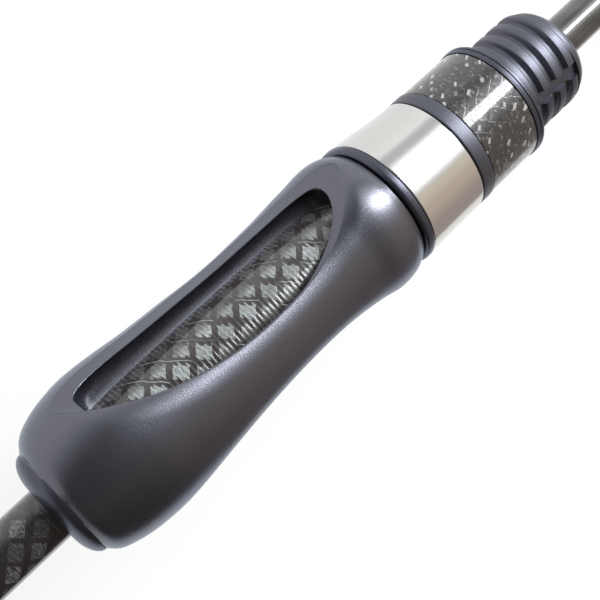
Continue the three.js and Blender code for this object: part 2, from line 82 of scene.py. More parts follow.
THREAD_R = 10.25
THREAD_PITCH = 3.55
THREAD_DEPTH = 0.95
THREAD_GROOVE, THREAD_FLANK = 0.55, 0.75
THREAD_FIRST = 57.2
THREAD_TURNS, THREAD_CROWN = 5.2, 0.12
BARREL_REAR, BARREL_FRONT, BARREL_BORE = 22.2, 70.6, 4.3
NOSE_LENGTH, NOSE_R, NOSE_END_R = 3.4, 9.65, 5.6
KEYWAY_WIDTH, KEYWAY_DEPTH = 2.6, 1.1

HOOD_BORE = 10.6
LIP_FRONT, LIP_R = 23.9, 12.5
HOOD_FRONT = 37.2
STEEL_R, STEEL_WALL = 12.36, 0.5
BAND_FRONT, BAND_R = 40.4, 12.32
CARBON_FRONT, CARBON_R = 52.3, 12.17
NUT_FRONT, NUT_RING_R = 54.4, 12.42
NUT_CORE_R, NUT_BORE, NUT_SHELL_BORE = 11.3, 10.5, 11.35

FINE = 160  # segments round a piece that is seen close up
MEDIUM = 96
COARSE = 48

BUTT, HOOD, NUT, TIP = "butt_section", "hood", "nut", "tip_section"


def clamp(v, low=0.0, high=1.0):
    return np.minimum(high, np.maximum(low, v))


def smooth(v):
    v = clamp(v)
    return v * v * (3 - 2 * v)


def lerp(a, b, v):
    return a + (b - a) * v


# -------- mesh building
def finish_mesh(obj, sharp=38):
    mesh = obj.data
    mesh.polygons.foreach_set("use_smooth", [True] * len(mesh.polygons))
    mesh.set_sharp_from_angle(angle=radians(sharp))
    mesh.update()


def face_outwards(mesh, merge=None):
    made = bmesh.new()
    made.from_mesh(mesh)
    if merge:
        bmesh.ops.remove_doubles(made, verts=made.verts, dist=merge * MM)
        bmesh.ops.dissolve_degenerate(made, edges=made.edges, dist=merge * MM)
    bmesh.ops.recalc_face_normals(made, faces=made.faces)
    made.to_mesh(mesh)
    made.free()


def link(obj):
    bpy.context.scene.collection.objects.link(obj)
    return obj


def new_object(name, verts, faces, material, sharp=38):
    mesh = bpy.data.meshes.new(name)
    mesh.from_pydata([tuple(v) for v in np.asarray(verts) * MM], [], faces)
    mesh.materials.append(material)
    face_outwards(mesh)
    obj = link(bpy.data.objects.new(name, mesh))
    finish_mesh(obj, sharp)
    return obj


def skin(name, rows, material, closed=False, sharp=38):
    """A surface over rows of points. Each row is a loop; the rows end in flat caps, or join up if closed."""
    rows = np.asarray(rows, float)
    count, width = rows.shape[:2]
    verts = rows.reshape(-1, 3)
    faces = []
    links = count if closed else count - 1
    for i in range(links):
        a, b = i * width, ((i + 1) % count) * width
        for j in range(width):
            k = (j + 1) % width
            faces.append((a + j, b + j, b + k, a + k))
    if not closed:
        centres = [rows[0].mean(axis=0), rows[-1].mean(axis=0)]
        verts = np.vstack([verts, centres])
        first, last = count * width, count * width + 1
        for j in range(width):
            k = (j + 1) % width
            faces.append((first, j, k))
            faces.append((last, (count - 1) * width + k, (count - 1) * width + j))
    return new_object(name, verts, faces, material, sharp)


def around(x, r, phi):
    """Points round the rod's axis; phi is 0 on the palm side and 90 degrees towards +Y."""
    x, r, phi = np.broadcast_arrays(x, r, phi)
    return np.stack([x, r * np.sin(phi), r * np.cos(phi)], axis=-1)


def fillet(points, radius, steps=5):
    """Rounds the corners of a closed outline of (x, r) points. A point's third value is its own radius."""
    out = []
    count = len(points)
    for i, point in enumerate(points):
        here = Vector(point[:2])
        size = point[2] if len(point) > 2 else radius
        before = Vector(points[i - 1][:2]) - here
        after = Vector(points[(i + 1) % count][:2]) - here
        size = min(size, before.length * 0.49, after.length * 0.49)
        if size < 1e-4:
            out.append(tuple(here))
            continue
        p, q = here + before.normalized() * size, here + after.normalized() * size
        for k in range(steps + 1):
            u = k / steps
            out.append(tuple(p * (1 - u) ** 2 + here * (2 * u * (1 - u)) + q * u * u))
    return out


def turned(name, outline, material, radius=0.0, segments=FINE, station=SEAT_X, sharp=38):
    """A turned tube from a closed outline of (x, r) points, with its corners rounded."""
    outline = fillet(outline, radius)
    phi = np.linspace(0, 2 * pi, segments, endpoint=False)
    rows = [around(station + x, r, phi) for x, r in outline]
    return skin(name, rows, material, closed=True, sharp=sharp)


def joined(name, parts):
    """One object out of several that share a material."""
    whole = bmesh.new()
    for part in parts:
        whole.from_mesh(part.data)
    first = parts[0]
    whole.to_mesh(first.data)
    whole.free()
    for part in parts[1:]:
        bpy.data.objects.remove(part)
    first.name = first.data.name = name
    finish_mesh(first)
    return first


def cut(obj, *tools):
    """Takes the tools' volumes out of obj and removes the tools."""
    for tool in tools:
        modifier = obj.modifiers.new("cut", "BOOLEAN")
        modifier.operation = "DIFFERENCE"
        modifier.solver = "MANIFOLD"
        modifier.object = tool
    depsgraph = bpy.context.evaluated_depsgraph_get()
    mesh = bpy.data.meshes.new_from_object(obj.evaluated_get(depsgraph))
    mesh.name = obj.name
    obj.modifiers.clear()
    obj.data = mesh
    for tool in tools:
        bpy.data.objects.remove(tool)
    finish_mesh(obj)


def place(obj, body, node):
    """Lets a piece ride on its body in the place of a CAD node."""
    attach(obj, body)
    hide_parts(node)


# -------- materials
class Nodes:
    """Short calls for making and joining the nodes of one tree."""

    def __init__(self, tree):
        self.nodes, self.links = tree.nodes, tree.links

    def feed(self, target, value):
        if isinstance(value, (int, float)):
            target.default_value = value
        elif isinstance(value, tuple):
            target.default_value = value if len(value) == len(target.default_value) else (*value, 1)
        else:
            self.links.new(value, target)

    def node(self, kind, inputs=(), **settings):
        made = self.nodes.new(kind)
        for key, value in settings.items():
            setattr(made, key, value)
        for key, value in dict(inputs).items():
            self.feed(made.inputs[key], value)
        return made

    def math(self, operation, a, b=0.0, c=0.0, clamped=False):
        made = self.node("ShaderNodeMath", {0: a, 1: b, 2: c}, operation=operation)
        made.use_clamp = clamped
        return made.outputs[0]

    def times(self, a, b):
        return self.math("MULTIPLY", a, b)

    def scaled(self, value, gain, offset):
        return self.math("MULTIPLY_ADD", value, gain, offset)

    def ramp(self, value, low, high):
        """0 at low, 1 at high, smooth between."""
        made = self.node(
            "ShaderNodeMapRange",
            {"Value": value, "From Min": low, "From Max": high},
            interpolation_type="SMOOTHSTEP",
        )
        return made.outputs["Result"]

    def mix(self, factor, a, b):
        made = self.node("ShaderNodeMix", data_type="RGBA")
        self.feed(made.inputs["Factor"], factor)
        self.feed(made.inputs["A"], a)
        self.feed(made.inputs["B"], b)
        return made.outputs["Result"]


class Look(Nodes):
    """A material with one Principled shader, and short calls for what feeds it."""

    def __init__(self, name, **values):
        self.material = bpy.data.materials.new(name)
        self.material.use_nodes = True
        super().__init__(self.material.node_tree)
        self.shader = self.nodes["Principled BSDF"]
        for key, value in values.items():
            socket = self.shader.inputs[key.replace("_", " ")]
            socket.default_value = (*value, 1) if isinstance(value, tuple) else value

    def place(self):
        """Object coordinates in millimetres, as separate x, y and z."""
        if not hasattr(self, "xyz"):
            source = self.node("ShaderNodeTexCoord").outputs["Object"]
            scaled = self.node("ShaderNodeVectorMath", {0: source, "Scale": 1 / MM}, operation="SCALE")
            self.point = scaled.outputs["Vector"]
            self.xyz = self.node("ShaderNodeSeparateXYZ", {0: self.point}).outputs
        return self.xyz

    def wound(self, radius):
        """x along the rod and arc round it, both in millimetres."""
        x, y, z = self.place()
        arc = self.times(self.math("ARCTAN2", y, z), radius)
        return x, arc

    def noise(self, scale, detail=3.0, stretch=(1, 1, 1)):
        self.place()
        vector = self.node("ShaderNodeVectorMath", {0: self.point, 1: stretch}, operation="MULTIPLY")
        made = self.node(
            "ShaderNodeTexNoise", {"Vector": vector.outputs[0], "Scale": scale, "Detail": detail}
        )
        return made.outputs["Fac"]

    def wave(self, value, period):
        """-1 to 1, one turn in each period."""
        return self.math("SINE", self.times(value, 2 * pi / period))

    def bump(self, height, depth, strength=1.0):
        """depth is the height's size in millimetres."""
        made = self.node(
            "ShaderNodeBump", {"Height": height, "Distance": depth * MM, "Strength": strength}
        )
        self.links.new(made.outputs[0], self.shader.inputs["Normal"])
        return made.outputs[0]

    def color(self, value):
        self.feed(self.shader.inputs["Base Color"], value)

    def rough(self, value):
        self.feed(self.shader.inputs["Roughness"], value)


COOL_TINT = (0.86, 0.92, 1.0)


def soft_touch():
    """Violet-grey metallic paint with a fine grain and a few pale specks."""
    dark, light, speck = (0.124, 0.124, 0.146), (0.156, 0.157, 0.182), (0.26, 0.26, 0.28)
    look = Look("soft_touch", Metallic=0.92, Specular_Tint=COOL_TINT)
    grain = look.noise(9.0, 4.0)
    broad = look.noise(0.12, 2.0)
    specks = look.ramp(look.noise(1.3, 1.0), 0.78, 0.82)
    look.color(look.mix(specks, look.mix(broad, dark, light), speck))
    look.rough(look.scaled(grain, 0.14, 0.20))
    look.bump(grain, 0.014)
    return look.material


def grained(name, scale, detail, dark, light, depth, roughness=None, **values):
    """A plain material whose fine grain shows in its colour and surface, and in its roughness too
    where one is given."""
    look = Look(name, **values)
    grain = look.noise(scale, detail)
    look.color(look.mix(grain, dark, light))
    if roughness is not None:
        look.rough(look.scaled(grain, 0.12, roughness))
    look.bump(grain, depth)
    return look.material


def satin_ring():
    dark, light = (0.075, 0.076, 0.096), (0.105, 0.107, 0.132)
    tint = {"Specular_Tint": COOL_TINT}
    return grained("satin_ring", 12.0, 3.0, dark, light, 0.008, 0.28, Metallic=0.9, **tint)


def matte_ring():
    dark, light = (0.100, 0.102, 0.124), (0.130, 0.133, 0.158)
    return grained("matte_ring", 10.0, 3.0, dark, light, 0.01, 0.38, Metallic=0.95)


def smoked_metal():
    dark, light = (0.16, 0.16, 0.17), (0.23, 0.23, 0.24)
    return grained("smoked_metal", 4.0, 3.0, dark, light, 0.004, 0.16, Metallic=1.0)


def rubber():
    dark, light = (0.012, 0.012, 0.012), (0.022, 0.022, 0.023)
    return grained("rubber", 3.0, 4.0, dark, light, 0.05, Roughness=0.7, Specular_IOR_Level=0.35)


def ceramic():
    dark, light = (0.10, 0.105, 0.115), (0.14, 0.145, 0.155)
    return grained("ceramic", 2.0, 2.0, dark, light, 0.001, Roughness=0.08, Specular_IOR_Level=0.6)


def polished_steel():
    """Bright steel, brushed round the axis."""
    dark, light = (0.62, 0.61, 0.595), (0.68, 0.67, 0.655)
    look = Look("polished_steel", Metallic=1.0)
    brushed = look.noise(3.0, 4.0, stretch=(6, 0.25, 0.25))
    look.color(look.mix(brushed, dark, light))
    look.rough(look.scaled(brushed, 0.08, 0.14))
    look.bump(brushed, 0.002)
    return look.material


def cell(look, x, arc, width, height):
    """Braid cells: diamonds of one width along the rod and one height round it. Returns how far
    a point is along each family of tapes, and a random number for its cell."""
    a, b = look.math("DIVIDE", x, width), look.math("DIVIDE", arc, height)
    back, forward = look.math("ADD", a, b), look.math("SUBTRACT", a, b)
    corner = look.node(
        "ShaderNodeCombineXYZ",
        {0: look.math("FLOOR", back), 1: look.math("FLOOR", forward)},
    )
    chance = look.node("ShaderNodeTexWhiteNoise", {"Vector": corner.outputs[0]})
    return look.math("FRACT", back), look.math("FRACT", forward), chance.outputs["Value"]


def band(look, value, centre, half, edge):
    """1 within half of centre, falling to 0 over edge."""
    off = look.math("ABSOLUTE", look.math("SUBTRACT", value, centre))
    return look.ramp(off, half + edge, half)


def window_carbon():
    """Braided tapes under gloss, wound with fine ridges that tear the tapes' ends into teeth. The tapes'
    pale colour is partly painted glint, and the tapes are painted brighter still in a band on each side of
    the pipe: a painted highlight where they would catch the light.
    """
    cell_length, cell_height, ridge_pitch = 5.0, 6.0, 0.88
    # Arc from the palm side, in millimetres, of the painted highlight band on the tapes, and its half width.
    glint_arc, glint_half = 8.4, 1.6
    dark, brown, fibre = (0.020, 0.016, 0.016), (0.060, 0.051, 0.050), (0.50, 0.54, 0.53)
    look = Look("window_carbon", Coat_Weight=0.6, Coat_Roughness=0.05)
    x, arc = look.wound(PIPE_R)
    side = look.math("ABSOLUTE", arc)
    wobble = look.scaled(look.noise(0.5, 2.0), 1.0, -0.5)
    along, across = look.math("ADD", x, wobble), look.math("ADD", side, 0.9)
    back, forward, chance = cell(look, along, across, cell_length, cell_height)
    ridge = look.wave(x, ridge_pitch)
    spike = look.times(look.math("POWER", look.ramp(ridge, -0.4, 1.0), 2.0), 0.28)
    torn = look.math("SUBTRACT", back, look.times(spike, look.noise(0.9, 1.0)))
    tape = look.times(band(look, forward, 0.5, 0.33, 0.04), band(look, torn, 0.38, 0.27, 0.07))
    # Painted highlight: the tapes are painted brighter in a band at a set arc on each side of the pipe,
    # where they would catch the light, and dimmed elsewhere.
    painted_glint_band = look.scaled(band(look, side, glint_arc, glint_half, 1.8), 0.78, 0.22)
    tape = look.times(tape, painted_glint_band)
    fibres = look.ramp(look.noise(1.4, 3.0, stretch=(6, 1, 1)), 0.25, 0.75)
    lit = look.times(tape, look.scaled(fibres, 0.75, 0.25))
    lit = look.times(lit, look.scaled(chance, 0.5, 0.5))
    thread = look.times(band(look, back, 0.93, 0.012, 0.015), look.ramp(chance, 0.45, 0.6))
    lit = look.math("ADD", lit, look.times(thread, 0.5), clamped=True)
    ground = look.mix(look.noise(0.7, 3.0, stretch=(4, 1, 1)), dark, brown)
    look.color(look.mix(lit, ground, fibre))
    look.rough(look.scaled(lit, 0.2, 0.16))
    look.bump(look.scaled(ridge, 0.6, look.times(tape, 0.5)), 0.035)
    return look.material


def nut_carbon():
    """Sparse short dashes of bright tape in a dark braid, with crinkled patches between them."""
    cell_length, cell_height = 3.3, 3.0
    dark, brown, fibre = (0.010, 0.008, 0.008), (0.046, 0.040, 0.041), (0.40, 0.40, 0.40)
    look = Look("nut_carbon", Coat_Weight=0.8, Coat_Roughness=0.05)
    x, arc = look.wound(CARBON_R)
    drift = look.scaled(look.noise(0.35, 2.0), 2.4, -1.2)
    back, forward, chance = cell(look, look.math("ADD", x, drift), arc, cell_length, cell_height)
    dash = look.times(band(look, back, 0.5, 0.22, 0.03), band(look, forward, 0.5, 0.1, 0.03))
    dash = look.times(dash, look.ramp(chance, 0.35, 0.6))
    crinkle = look.ramp(look.noise(0.9, 5.0, stretch=(1.8, 1, 1)), 0.54, 0.70)
    lattice = look.math("MAXIMUM", band(look, back, 0.0, 0.1, 0.08), band(look, forward, 0.0, 0.1, 0.08))
    soft = look.times(crinkle, look.scaled(lattice, -0.2, 0.34))
    lit = look.math("MAXIMUM", dash, soft, clamped=True)
    ground = look.mix(look.noise(0.8, 3.0), dark, brown)
    look.color(look.mix(lit, ground, fibre))
    look.rough(look.scaled(crinkle, 0.2, 0.2))
    look.bump(look.math("ADD", crinkle, look.times(lattice, 0.6)), 0.05)
    return look.material


def handle_carbon():
    """Wide wound tapes with a woven fleck, under gloss."""
    cell_size = 5.2
    dark, brown, fibre = (0.008, 0.006, 0.007), (0.026, 0.022, 0.024), (0.20, 0.20, 0.21)
    look = Look("handle_carbon", Coat_Weight=1.0, Coat_Roughness=0.04)
    x, arc = look.wound(HANDLE_R)
    back, forward, chance = cell(look, x, arc, cell_size, cell_size)
    tape = look.times(band(look, forward, 0.5, 0.3, 0.05), band(look, back, 0.45, 0.34, 0.1))
    fibres = look.ramp(look.noise(1.5, 3.0, stretch=(5, 1, 1)), 0.35, 0.75)
    lit = look.times(tape, fibres)
    lit = look.times(lit, look.scaled(chance, 0.7, 0.3))
    ground = look.mix(look.noise(0.8, 3.0), dark, brown)
    look.color(look.mix(lit, ground, fibre))
    look.rough(look.scaled(lit, 0.2, 0.2))
    look.bump(look.math("ADD", look.wave(x, 0.9), look.times(tape, 0.8)), 0.012)
    return look.material


def blank_gloss():
    """Clear gloss over fibres that lie round the blank, in slanting scarfs."""
    dark, light = (0.012, 0.011, 0.011), (0.085, 0.078, 0.074)
    look = Look("blank_gloss", Roughness=0.3, Coat_Weight=1.0, Coat_Roughness=0.03)
    x, arc = look.wound(4.0)
    fibres = look.noise(0.8, 3.0, stretch=(0.15, 3, 3))
    scarf = look.wave(look.scaled(arc, 1.2, x), 9.0)
    tone = look.times(fibres, look.scaled(scarf, 0.35, 0.65))
    look.color(look.mix(tone, dark, light))
    look.bump(look.wave(x, 1.1), 0.006)
    return look.material


def foam():
    """Closed-cell foam with its fine pitted skin."""
    dark, light = (0.012, 0.012, 0.012), (0.03, 0.03, 0.031)
    look = Look("eva_foam", Roughness=0.85, Specular_IOR_Level=0.3)
    look.place()
    cells = look.node("ShaderNodeTexVoronoi", {"Vector": look.point, "Scale": 1.6})
    speck = look.ramp(cells.outputs["Distance"], 0.0, 0.5)
    look.color(look.mix(speck, dark, light))
    look.bump(speck, 0.08)
    return look.material


def winding():
    """Turns of dark thread under a thick clear coat."""
    strand_pitch = 0.34
    dark, light = (0.006, 0.006, 0.008), (0.05, 0.052, 0.062)
    look = Look("winding", Roughness=0.4, Coat_Weight=1.0, Coat_Roughness=0.04)
    x = look.place()[0]
    strand = look.wave(x, strand_pitch)
    shade = look.noise(0.9, 2.0)
    tone = look.math("MULTIPLY_ADD", strand, 0.35, shade, clamped=True)
    look.color(look.mix(tone, dark, light))
    look.bump(look.scaled(shade, 0.8, strand), 0.02)
    return look.material


SOFT_TOUCH = soft_touch()
SATIN = satin_ring()
MATTE = matte_ring()
STEEL = polished_steel()
WINDOW_CARBON = window_carbon()
NUT_CARBON = nut_carbon()
HANDLE_CARBON = handle_carbon()
BLANK = blank_gloss()
FOAM = foam()
RUBBER = rubber()
METAL = smoked_metal()
CERAMIC = ceramic()
WINDING = winding()


# -------- reel seat body
def curve(points):
    """A smooth curve through (x, value) points, for arrays."""
    xs = np.array([p[0] for p in points], float)
    ys = np.array([p[1] for p in points], float)
    slopes = np.empty(len(xs))
    slopes[1:-1] = (ys[2:] - ys[:-2]) / (xs[2:] - xs[:-2])
    slopes[0] = (ys[1] - ys[0]) / (xs[1] - xs[0])
    slopes[-1] = (ys[-1] - ys[-2]) / (xs[-1] - xs[-2])

    def at(x):
        x = np.clip(np.asarray(x, float), xs[0], xs[-1])
        i = np.clip(np.searchsorted(xs, x, side="right") - 1, 0, len(xs) - 2)
        width = xs[i + 1] - xs[i]
        u = (x - xs[i]) / width
        return (
            (1 + 2 * u) * (1 - u) ** 2 * ys[i]
            + u * (1 - u) ** 2 * width * slopes[i]
            + u * u * (3 - 2 * u) * ys[i + 1]
            + u * u * (u - 1) * width * slopes[i + 1]
        )

    return at


palm_radius = curve(
    [(BODY_REAR, CAP_R), (-51.3, 11.6), (-49.5, 12.45), (-45, 13.5), (-38, 13.95), (-30, 13.8)]
    + [(-18, 13.25), (-4, 12.65), (5, 12.4), (11, 12.55), (16.3, 13.05), (19.5, 12.8), (BODY_FRONT, 11.9)]
)
foot_growth = curve(
    [(BODY_REAR, 0), (-49.2, 1), (-42.8, 1.55), (-39.6, 1.6), (-33, 0.9), (-26, 0.25), (-9, 0.2)]
    + [(1.8, 1), (9.2, 1.7), (16.8, 1.6), (BODY_FRONT, 0.9)]
)
FOOT_BULGE_SPREAD = 0.62


def foot_side(phi, growth, bulge):
    """Extra radius at phi from the palm side: a broad growth and a narrow bulge over a pocket."""
    off = pi - np.abs(phi)
    return growth * (1 - np.cos(phi)) / 2 + bulge * np.exp(-((off / FOOT_BULGE_SPREAD) ** 2))


BELLY_BULGE = 2.5
BELLY_REAR, BELLY_RISE = -46, 16
BELLY_FRONT, BELLY_FALL = -10, 9.8


def body_radius(x, phi):
    """The body without its windows: the palm line, wider on the foot side and over the fixed pocket."""
    bulge = BELLY_BULGE * smooth((x - BELLY_REAR) / BELLY_RISE) * smooth((BELLY_FRONT - x) / BELLY_FALL)
    return palm_radius(x) + foot_side(phi, foot_growth(x), bulge)


# The window on each side, in degrees from the palm side: a dish inside a crest, and in the dish a
# slot down to the carbon pipe, arched on the palm side and straight on the foot side.
CREST = {"rear": -44.7, "front": 18.9, "palm": 62.3, "foot": 28.0, "centre": 90.0}
SLOT = {"rear": -40.9, "front": 13.8, "palm": 54.3, "foot": 20.5, "centre": 82.0}
WINDOW_MIDDLE = -9.0
CREST_LIP = 2.2
DISH_DEPTH = 1.5
DISH_REACH = 2.2
FOOT_DISH = 0.5
ROLL, ROLL_WIDTH = 0.45, 4.0
PALM_COVE, FOOT_COVE, COVE_CURL = 5.0, 13.5, 0.62
RIM = 0.65
POCKET_FLOOR = PIPE_R - 0.5


def swell(x, shape, rear_power, front_power, front_shape=2.0):
    """0 at both ends of a window outline and 1 at its middle."""
    if not shape["rear"] < x < shape["front"]:
        return 0.0
    if x < WINDOW_MIDDLE:
        return (1 - ((WINDOW_MIDDLE - x) / (WINDOW_MIDDLE - shape["rear"])) ** 2) ** rear_power
    return (1 - ((x - WINDOW_MIDDLE) / (shape["front"] - WINDOW_MIDDLE)) ** front_shape) ** front_power


def palm_crest(x):
    """Angle of the dish's outer edge on the palm side."""
    return CREST["centre"] - CREST["palm"] * swell(x, CREST, 0.75, 0.72, 2.6)


def foot_crest(x):
    """Angle of the dish's outer edge on the foot side."""
    return CREST["centre"] + CREST["foot"] * swell(x, CREST, 0.4, 0.5)


def is_open(x):
    return SLOT["rear"] < x < SLOT["front"]


def centre_line(x):
    """Angle of the dish's deepest line beyond the slot's ends."""
    inward = smooth((x - CREST["rear"]) / 2.7) * smooth((CREST["front"] - x) / 4.9)
    return lerp(CREST["centre"], SLOT["centre"], float(inward))


def palm_edge(x):
    """Angle of the slot's rim on the palm side."""
    if not is_open(x):
        return centre_line(x)
    return max(palm_crest(x) + CREST_LIP, SLOT["centre"] - SLOT["palm"] * swell(x, SLOT, 0.35, 0.6))


def foot_edge(x):
    """Angle of the slot's rim on the foot side."""
    return SLOT["centre"] + SLOT["foot"] * swell(x, SLOT, 0.27, 0.4) if is_open(x) else centre_line(x)


def dish_depth(x, angle):
    """Depth of the dish, from the distances to its two crests along the arc."""
    arc = radians(1) * float(palm_radius(x))
    palm, foot = np.maximum(angle - palm_crest(x), 0) * arc, np.maximum(foot_crest(x) - angle, 0) * arc
    depth = DISH_DEPTH * (1 - np.exp(-palm * foot / (palm + foot + 1e-9) / DISH_REACH))
    shallow = lerp(1, FOOT_DISH, smooth((angle - CREST["centre"] + 12) / 16) * opened(x))
    return depth * shallow


def opened(x):
    """0 at the window's ends and 1 where it is wide open."""
    return float(smooth((CREST["centre"] - palm_crest(x)) / 42))


def rolled(x, angle):
    """How far the surface falls as it rolls over the palm crest into the dish."""
    ahead = (palm_crest(x) - angle) * radians(1) * float(palm_radius(x))
    return ROLL * opened(x) * clamp(1 - np.maximum(ahead, 0) / ROLL_WIDTH) ** 2


def surface(x, angle):
    """Radius of the body's skin with its dish, at an angle in degrees."""
    on_palm_side = smooth((130 - angle) / 30)
    fall = rolled(x, angle) * on_palm_side
    return body_radius(x, np.radians(angle)) - dish_depth(x, angle) - fall


def half_section(x, spine_angle, crest, edge, cove):
    """Radii and angles of half a section on one side of the window: from the spine over the crest
    and the dish, round the slot's rim and down its wall, which leans by the cove's angle."""
    spine = lerp(spine_angle, crest, 1 - (1 - np.linspace(0, 1, 34)[:-1]) ** 1.5)
    arc = radians(1) * float(palm_radius(x))
    rim = copysign(min(RIM / arc, abs(edge - crest) * 0.8), edge - crest)
    dish = lerp(crest, edge - rim, np.linspace(0, 1, 20) ** 1.3)
    angles = np.concatenate([spine, dish])
    radii = surface(x, angles)
    corner = float(surface(x, edge))
    depth = corner - POCKET_FLOOR if is_open(x) else 0.0
    first = min(1.0, RIM / depth) if depth > 0 else 1.0
    down = lerp(first, 1, np.linspace(0, 1, 18))
    wall = edge + cove * np.sin(COVE_CURL * pi * down**0.8) * (1.0 if is_open(x) else 0.0)
    wall_radii = corner - depth * down
    u = np.linspace(0, 1, 9)[1:-1]
    bend = (1 - u) ** 2, 2 * u * (1 - u), u**2
    rim_angles = bend[0] * angles[-1] + bend[1] * edge + bend[2] * wall[0]
    rim_radii = bend[0] * radii[-1] + bend[1] * corner + bend[2] * wall_radii[0]
    all_radii = np.concatenate([radii, rim_radii, wall_radii])
    all_angles = np.concatenate([angles, rim_angles, wall])
    return all_radii, np.radians(all_angles)


def foot_pocket(x0, x1, level):
    """The room for one end of a reel foot, flat on the platform, arched on top, round at its end."""
    corner = 3.0
    rows = []
    for x in np.concatenate([x0 + np.linspace(0, corner, 9), [x1]]):
        half = POCKET_HALF_WIDTH - corner + sqrt(max(0.0, corner**2 - max(0.0, x0 + corner - x) ** 2))
        a = np.linspace(0, pi, 25)
        arch = -FOOT_LEVEL - POCKET_SIDE - POCKET_ARCH * np.sin(a)
        edge = [(half, level), *zip(half * np.cos(a), arch), (-half, level)]
        rows.append([(SEAT_X + x, y, z) for y, z in edge])
    return skin("pocket_tool", rows, None)


def slab(x0, x1, half_width, z0, z1):
    """A plain block across the rod, as a tool."""
    corners = [(half_width, z0), (half_width, z1), (-half_width, z1), (-half_width, z0)]
    return skin("slab_tool", [[(SEAT_X + x, y, z) for y, z in corners] for x in (x0, x1)], None)


def seat_body():
    """Sections along the body, close together where the window opens and closes, with the reel
    foot's platform and fixed pocket cut out."""
    stations = set(np.round(np.arange(BODY_REAR, BODY_FRONT, 0.45), 3))
    for end, inward in ((CREST["rear"], 1), (SLOT["rear"], 1), (SLOT["front"], -1), (CREST["front"], -1)):
        for k in range(1, 16):
            stations.add(round(end + inward * 0.02 * k**1.9, 3))
        stations.add(round(end - inward * 0.01, 3))
    stations.add(BODY_FRONT)
    rows = []
    for x in sorted(stations):
        opening = float(smooth((foot_edge(x) - palm_edge(x)) / 30))
        palm_r, palm_phi = half_section(x, 0, palm_crest(x), palm_edge(x), -opening * PALM_COVE)
        foot_r, foot_phi = half_section(x, 180, foot_crest(x), foot_edge(x), opening * FOOT_COVE)
        loop = [around(SEAT_X + x, palm_r, palm_phi), around(SEAT_X + x, foot_r, foot_phi)[::-1]]
        loop += [around(SEAT_X + x, foot_r, -foot_phi), around(SEAT_X + x, palm_r, -palm_phi)[::-1]]
        rows.append(np.concatenate(loop))
    body = skin("reel_seat_body", rows, SOFT_TOUCH, sharp=50)
    face_outwards(body.data, merge=0.002)
    platform = slab(FIXED_POCKET[1], 30, 20, -20, -FOOT_LEVEL)
    pocket = foot_pocket(FIXED_POCKET[0], FIXED_POCKET[1] + 3, -FOOT_LEVEL + 0.001)
    cut(body, platform, pocket)
    return body


place(seat_body(), BUTT, "seat_body")


# -------- other reel seat pieces
def tube(name, x0, x1, outer, bore, material, radius=0.1, **options):
    return turned(name, [(x0, bore), (x0, outer), (x1, outer), (x1, bore)], material, radius, **options)


def end_cap():
    """A shallow dome round the handle tube."""
    front = BODY_REAR - 0.03
    depth = front - CAP_REAR
    rise = CAP_R - HANDLE_R - 0.25
    bore = HANDLE_R + 0.05
    outline = [(CAP_REAR, bore, 0)]
    for k in range(17):
        a = pi / 2 * k / 16
        outline.append((CAP_REAR + depth * (1 - cos(a)), CAP_R - rise * (1 - sin(a)), 0))
    outline += [(front, CAP_R, 0.2), (front, bore, 0)]
    return turned("seat_end_cap_piece", outline, SATIN)


def threaded_barrel():
    """A helical thread that fades out towards the rear, a keyway along it and a domed nose."""
    root = THREAD_R - THREAD_DEPTH
    floor = THREAD_R - KEYWAY_DEPTH
    key = asin(KEYWAY_WIDTH / 2 / THREAD_R)
    edge = 0.006
    in_key = np.linspace(-key, key, 9)
    outside = np.linspace(key + edge, 2 * pi - key - edge, 200)
    phi = np.concatenate([in_key, outside])
    keyed = np.concatenate([np.ones(9, bool), np.zeros(200, bool)])
    flat_end = BARREL_FRONT - NOSE_LENGTH
    rows = []
    for x in np.arange(BARREL_REAR, flat_end, 0.11):
        turn = (x - THREAD_FIRST) / THREAD_PITCH - phi / (2 * pi)
        off = np.abs(turn - np.round(turn)) * THREAD_PITCH
        groove = 1 - smooth((off - THREAD_GROOVE / 2) / THREAD_FLANK)
        crown = THREAD_CROWN * (off / (THREAD_PITCH / 2) - 1) ** 2
        fade = float(smooth((x - THREAD_FIRST + THREAD_TURNS * THREAD_PITCH) / 2))
        r = THREAD_R - fade * (crown + (THREAD_DEPTH - crown) * groove)
        edge_slope = float(smooth((x - flat_end + 1.0) / 1.0))
        r = r - edge_slope * 0.1
        r = np.where(keyed, np.minimum(r, floor / np.cos(phi)), r)
        rows.append(around(SEAT_X + x, np.maximum(r, root), phi))
    for x, r in ((flat_end + 0.25, 10.05), (flat_end + 0.45, NOSE_R + 0.05), (flat_end + 0.6, NOSE_R)):
        rows.append(around(SEAT_X + x, r, phi))
    nose = BARREL_FRONT - flat_end - 0.6
    for k in range(1, 22):
        a = pi / 2 * k / 21
        r = NOSE_END_R + (NOSE_R - NOSE_END_R) * cos(a) ** 0.9
        rows.append(around(SEAT_X + BARREL_FRONT - nose * (1 - sin(a)), r, phi))
    rows.append(around(SEAT_X + BARREL_FRONT - 0.05, BARREL_BORE + 0.3, phi))
    rows.append(around(SEAT_X + BARREL_FRONT - 0.4, BARREL_BORE, phi))
    rows.append(around(SEAT_X + BARREL_REAR, BARREL_BORE, phi))
    return skin("threaded_barrel_piece", rows, MATTE, closed=True, sharp=45)


HOOD_BULGE, BULGE_END = 3.4, 36.6
HOOD_GROWTH, GROWTH_END = 0.8, 36


def hood_bulge(x):
    """Height of the narrow bulge over the sliding hood's pocket."""
    return HOOD_BULGE * (1 - smooth((x - 27) / (BULGE_END - 27)))


def hood_growth(x):
    """How far the hood is wider on the foot side, as the body behind it is."""
    return lerp(HOOD_GROWTH, 0.0, smooth((x - 23) / (GROWTH_END - 23)))


